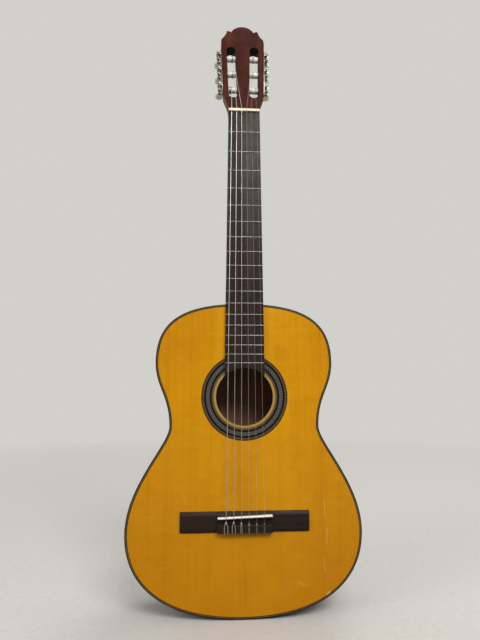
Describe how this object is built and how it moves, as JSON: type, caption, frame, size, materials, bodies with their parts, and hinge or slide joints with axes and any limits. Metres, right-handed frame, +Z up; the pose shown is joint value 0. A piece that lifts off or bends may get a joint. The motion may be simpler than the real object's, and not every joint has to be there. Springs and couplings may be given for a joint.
{
  "type": "classical guitar",
  "caption": "Full-size nylon-string guitar: hollow braced body, neck with fretted fingerboard, tie bridge, slotted head with worm-geared tuning machines.",
  "frame": {"origin": "on the floor under the tail, on the centre line, in the middle of the guitar's depth from the strings to the back; the soundboard's outer face is the plane y = -0.04325", "axes": "+Z up along the neck, +X towards the treble side (string 1), -Y the way the soundboard and strings face, +Y towards the back"},
  "size_m": [0.364, 0.1135, 0.9911],
  "materials": {
    "soundboard_spruce": "amber-tinted gloss lacquer over straight-grained spruce",
    "brace_spruce": "bare planed spruce",
    "side_mahogany": "gloss lacquer over reddish-brown mahogany",
    "block_wood": "bare cedar",
    "dark_binding": "black-brown binding under lacquer",
    "rosette_mosaic": "grey-blue ring mosaic under lacquer",
    "bridge_rosewood": "dark satin rosewood",
    "fingerboard_wood": "dark brown open-grained wood with nickel-silver frets",
    "ivory": "polished bone white",
    "neck_mahogany": "satin lacquer over mahogany",
    "head_veneer": "reddish-brown lacquered veneer",
    "plate_nickel": "nickel plate with light tarnish",
    "worm_steel": "nickel-plated steel",
    "gear_brass": "dull brass",
    "roller_nylon": "cream nylon",
    "button_pearl": "pearl plastic",
    "string_nylon": "clear nylon",
    "string_wound": "silver-plated copper winding"
  },
  "bodies": {
    "root": {"soundboard": "soundboard_spruce", "upper_harmonic_bar": "brace_spruce", "lower_harmonic_bar": "brace_spruce", "fan_brace_centre": "brace_spruce", "fan_brace_treble": "brace_spruce", "fan_brace_bass": "brace_spruce", "back_bar_upper": "brace_spruce", "back_bar_middle": "brace_spruce", "back_bar_lower": "brace_spruce", "back_plate": "side_mahogany", "rib_bass": "side_mahogany", "rib_treble": "side_mahogany", "tail_block": "block_wood", "heel_block": "block_wood", "top_lining_bass": "block_wood", "top_lining_treble": "block_wood", "back_lining_bass": "block_wood", "back_lining_treble": "block_wood", "top_binding": "dark_binding", "back_binding": "dark_binding", "heel_cap": "dark_binding", "rosette": "rosette_mosaic", "bridge": "bridge_rosewood", "fretted_fingerboard": "fingerboard_wood", "nut": "ivory", "saddle": "ivory", "neck": "neck_mahogany", "headstock_faceplate": "head_veneer", "tuner_plate_bass": "plate_nickel", "tuner_plate_treble": "plate_nickel", "string_1": "string_nylon", "string_2": "string_nylon", "string_3": "string_nylon", "string_4": "string_wound", "string_5": "string_wound", "string_6": "string_wound"},
    "peg_1": {"worm_shaft_1": "worm_steel", "tuner_button_1": "button_pearl"},
    "post_1": {"string_roller_1": "roller_nylon", "worm_gear_1": "gear_brass"},
    "peg_2": {"worm_shaft_2": "worm_steel", "tuner_button_2": "button_pearl"},
    "post_2": {"string_roller_2": "roller_nylon", "worm_gear_2": "gear_brass"},
    "peg_3": {"worm_shaft_3": "worm_steel", "tuner_button_3": "button_pearl"},
    "post_3": {"string_roller_3": "roller_nylon", "worm_gear_3": "gear_brass"},
    "peg_4": {"worm_shaft_4": "worm_steel", "tuner_button_4": "button_pearl"},
    "post_4": {"string_roller_4": "roller_nylon", "worm_gear_4": "gear_brass"},
    "peg_5": {"worm_shaft_5": "worm_steel", "tuner_button_5": "button_pearl"},
    "post_5": {"string_roller_5": "roller_nylon", "worm_gear_5": "gear_brass"},
    "peg_6": {"worm_shaft_6": "worm_steel", "tuner_button_6": "button_pearl"},
    "post_6": {"string_roller_6": "roller_nylon", "worm_gear_6": "gear_brass"}
  },
  "joints": [
    {"name": "peg_1_turn", "type": "hinge", "parent": "root", "child": "peg_1", "pos_m": [0.04106, -0.03246, 0.8657], "axis": [0, 0.9763, -0.2164], "continuous": true},
    {"name": "post_1_turn", "type": "hinge", "parent": "root", "child": "post_1", "pos_m": [0.03539, -0.02526, 0.85428], "axis": [0.9996, -0.0062, -0.0279], "continuous": true},
    {"name": "peg_2_turn", "type": "hinge", "parent": "root", "child": "peg_2", "pos_m": [0.04206, -0.02489, 0.89986], "axis": [0, 0.9763, -0.2164], "continuous": true},
    {"name": "post_2_turn", "type": "hinge", "parent": "root", "child": "post_2", "pos_m": [0.03639, -0.01769, 0.88844], "axis": [0.9996, -0.0062, -0.0279], "continuous": true},
    {"name": "peg_3_turn", "type": "hinge", "parent": "root", "child": "peg_3", "pos_m": [0.04306, -0.01731, 0.93402], "axis": [0, 0.9763, -0.2164], "continuous": true},
    {"name": "post_3_turn", "type": "hinge", "parent": "root", "child": "post_3", "pos_m": [0.03739, -0.01011, 0.9226], "axis": [0.9996, -0.0062, -0.0279], "continuous": true},
    {"name": "peg_4_turn", "type": "hinge", "parent": "root", "child": "peg_4", "pos_m": [-0.04306, -0.01731, 0.93402], "axis": [0, 0.9763, -0.2164], "continuous": true},
    {"name": "post_4_turn", "type": "hinge", "parent": "root", "child": "post_4", "pos_m": [-0.03739, -0.01011, 0.9226], "axis": [0.9996, 0.0062, 0.0279], "continuous": true},
    {"name": "peg_5_turn", "type": "hinge", "parent": "root", "child": "peg_5", "pos_m": [-0.04206, -0.02489, 0.89986], "axis": [0, 0.9763, -0.2164], "continuous": true},
    {"name": "post_5_turn", "type": "hinge", "parent": "root", "child": "post_5", "pos_m": [-0.03639, -0.01769, 0.88844], "axis": [0.9996, 0.0062, 0.0279], "continuous": true},
    {"name": "peg_6_turn", "type": "hinge", "parent": "root", "child": "peg_6", "pos_m": [-0.04106, -0.03246, 0.8657], "axis": [0, 0.9763, -0.2164], "continuous": true},
    {"name": "post_6_turn", "type": "hinge", "parent": "root", "child": "post_6", "pos_m": [-0.03539, -0.02526, 0.85428], "axis": [0.9996, 0.0062, 0.0279], "continuous": true}
  ],
  "couplings": [
    {"joint": "post_1_turn", "follows": "peg_1_turn", "ratio": 0.071429},
    {"joint": "post_2_turn", "follows": "peg_2_turn", "ratio": 0.071429},
    {"joint": "post_3_turn", "follows": "peg_3_turn", "ratio": 0.071429},
    {"joint": "post_4_turn", "follows": "peg_4_turn", "ratio": 0.071429},
    {"joint": "post_5_turn", "follows": "peg_5_turn", "ratio": 0.071429},
    {"joint": "post_6_turn", "follows": "peg_6_turn", "ratio": 0.071429}
  ]
}
